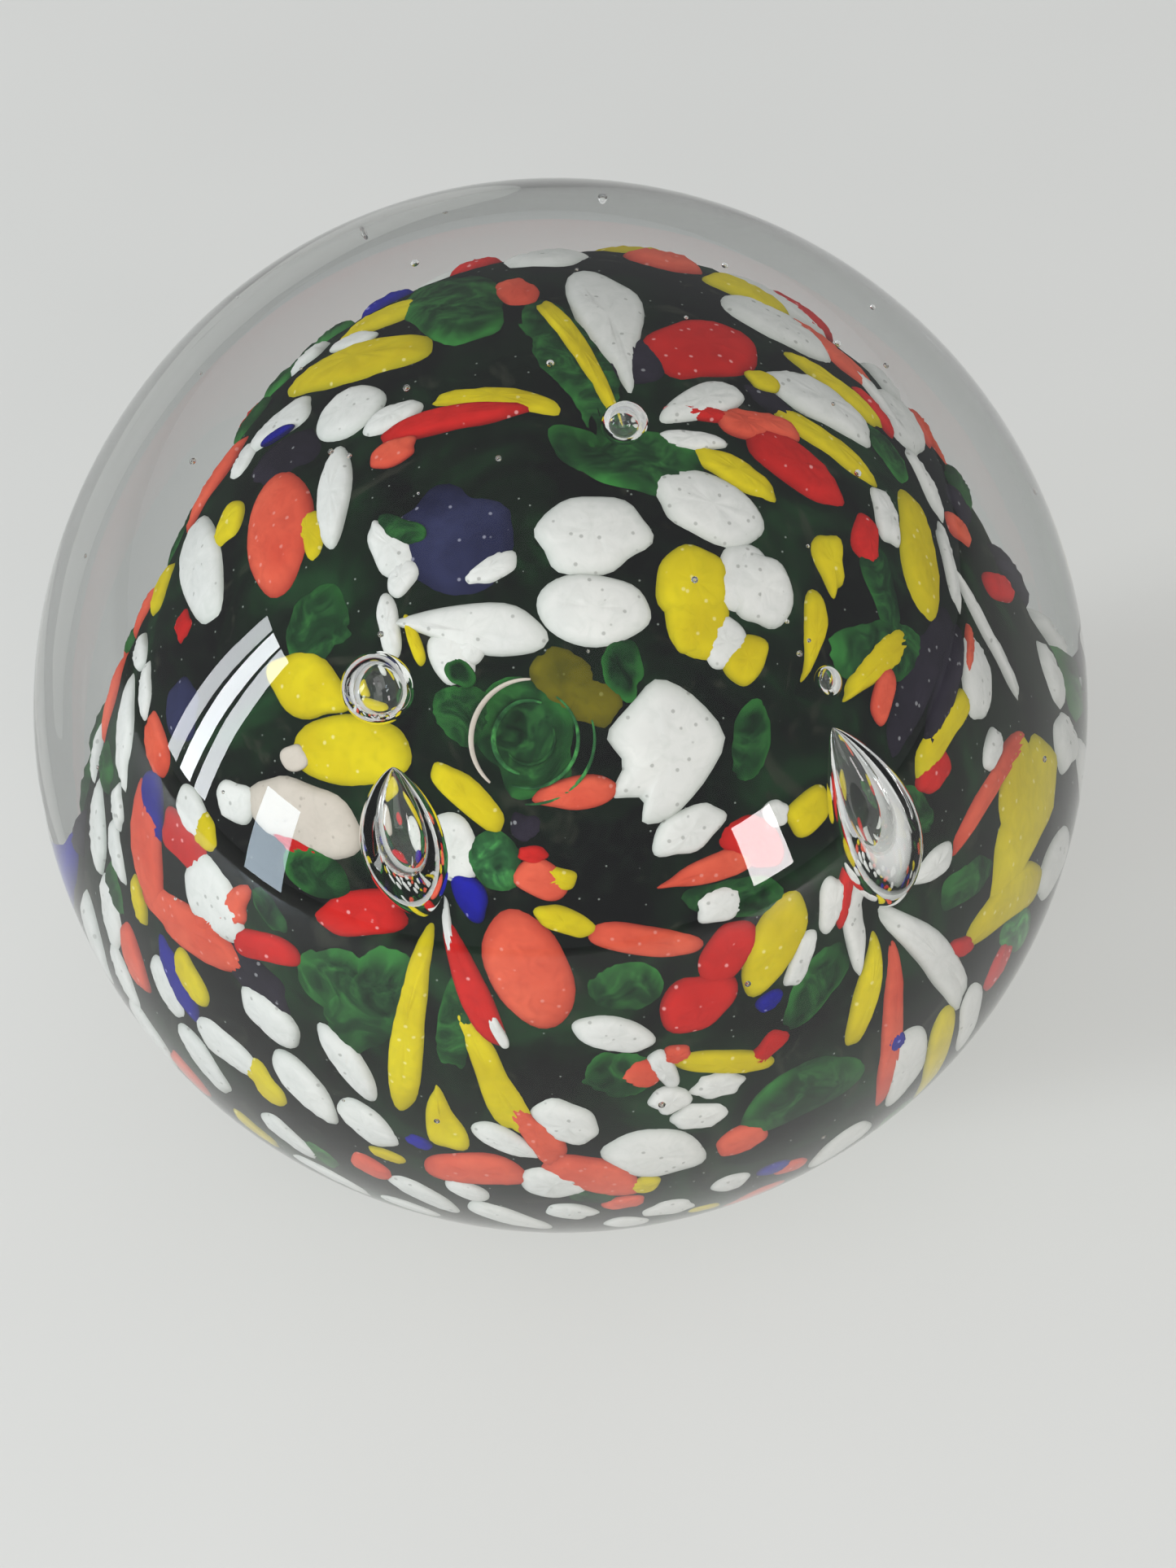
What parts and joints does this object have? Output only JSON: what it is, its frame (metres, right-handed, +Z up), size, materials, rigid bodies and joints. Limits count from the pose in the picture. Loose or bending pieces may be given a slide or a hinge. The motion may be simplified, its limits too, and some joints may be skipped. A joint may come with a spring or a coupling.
{
  "type": "glass paperweight",
  "caption": "Round glass desk paperweight: clear ball with a ground flat base, a dark inner gather, a layer of coloured glass chips and trapped air bubbles.",
  "frame": {"origin": "middle of the ground flat base, on the surface the paperweight stands on", "axes": "+Z up along the axis of the ball, -Y towards the front, from where the three large bubbles are seen best, +X to the right"},
  "size_m": [0.076, 0.076, 0.0684],
  "materials": {
    "clear_glass": "fire polished, clear, faint grey-green cast",
    "gather_glass": "dense bottle green, reads near black",
    "white_glass": "opaque white enamel glass with fine grey pits",
    "yellow_glass": "opaque lemon yellow, thinner and darker at its edges",
    "coral_glass": "opaque coral",
    "red_glass": "deep red with fine seeds",
    "green_glass": "see-through dark green, bright at its edges",
    "blue_glass": "cobalt blue",
    "black_glass": "black with a purple-grey cast"
  },
  "bodies": {
    "root": {"black_chip_01": "black_glass", "black_chip_02": "black_glass", "blue_chip_01": "blue_glass", "clear_casing": "clear_glass", "coral_chip_01": "coral_glass", "coral_chip_02": "coral_glass", "coral_chip_03": "coral_glass", "coral_chip_04": "coral_glass", "coral_chip_05": "coral_glass", "coral_chip_06": "coral_glass", "green_chip_01": "green_glass", "green_chip_02": "green_glass", "green_chip_03": "green_glass", "green_chip_04": "green_glass", "inner_gather": "gather_glass", "red_chip_01": "red_glass", "red_chip_02": "red_glass", "red_chip_03": "red_glass", "red_chip_04": "red_glass", "red_chip_05": "red_glass", "red_chip_06": "red_glass", "white_chip_01": "white_glass", "white_chip_02": "white_glass", "white_chip_03": "white_glass", "white_chip_04": "white_glass", "white_chip_05": "white_glass", "white_chip_06": "white_glass", "white_chip_07": "white_glass", "white_chip_08": "white_glass", "white_chip_09": "white_glass", "white_chip_10": "white_glass", "white_chip_11": "white_glass", "white_chip_12": "white_glass", "white_chip_13": "white_glass", "white_chip_14": "white_glass", "white_chip_15": "white_glass", "white_chip_16": "white_glass", "white_chip_17": "white_glass", "white_chip_18": "white_glass", "white_chip_19": "white_glass", "white_chip_20": "white_glass", "white_chip_21": "white_glass", "white_chip_22": "white_glass", "white_chip_23": "white_glass", "white_chip_24": "white_glass", "white_chip_25": "white_glass", "white_chip_26": "white_glass", "white_chip_27": "white_glass", "white_chip_28": "white_glass", "white_chip_29": "white_glass", "yellow_chip_01": "yellow_glass", "yellow_chip_02": "yellow_glass", "yellow_chip_03": "yellow_glass", "yellow_chip_04": "yellow_glass", "yellow_chip_05": "yellow_glass", "yellow_chip_06": "yellow_glass", "yellow_chip_07": "yellow_glass", "yellow_chip_08": "yellow_glass", "yellow_chip_09": "yellow_glass", "yellow_chip_10": "yellow_glass"}
  },
  "joints": []
}
